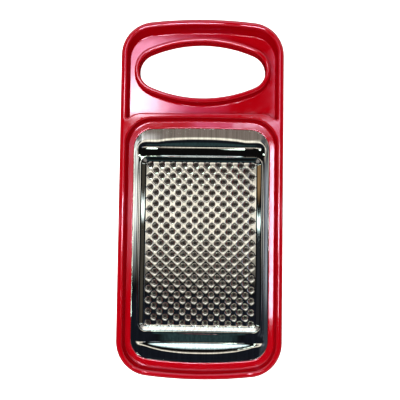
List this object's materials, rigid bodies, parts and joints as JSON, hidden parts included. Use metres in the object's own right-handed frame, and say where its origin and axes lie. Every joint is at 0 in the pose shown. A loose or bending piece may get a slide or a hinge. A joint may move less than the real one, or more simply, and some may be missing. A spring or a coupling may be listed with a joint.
{
  "type": "flat hand-held grater",
  "caption": "Flat kitchen grater: pressed steel sheet of fine burst teeth moulded into a hollow-backed plastic frame with an oval finger hole in its handle end.",
  "frame": {"origin": "centre of the bounding box in X and Y, at the level of the tooth tips in Z; the grater lies on its teeth with the open back of its frame up", "axes": "+X across the grater, +Y along it from the grating plate towards the finger hole, +Z out of the open back of the frame"},
  "size_m": [0.11, 0.2414, 0.0147],
  "materials": {
    "frame_plastic": "glossy, smooth moulded red, with moulded-in colour",
    "plate_steel": "bright rolled stainless sheet, lightly brushed, pressed after rolling"
  },
  "bodies": {
    "root": {"frame": "frame_plastic", "grating_plate": "plate_steel"}
  },
  "joints": []
}
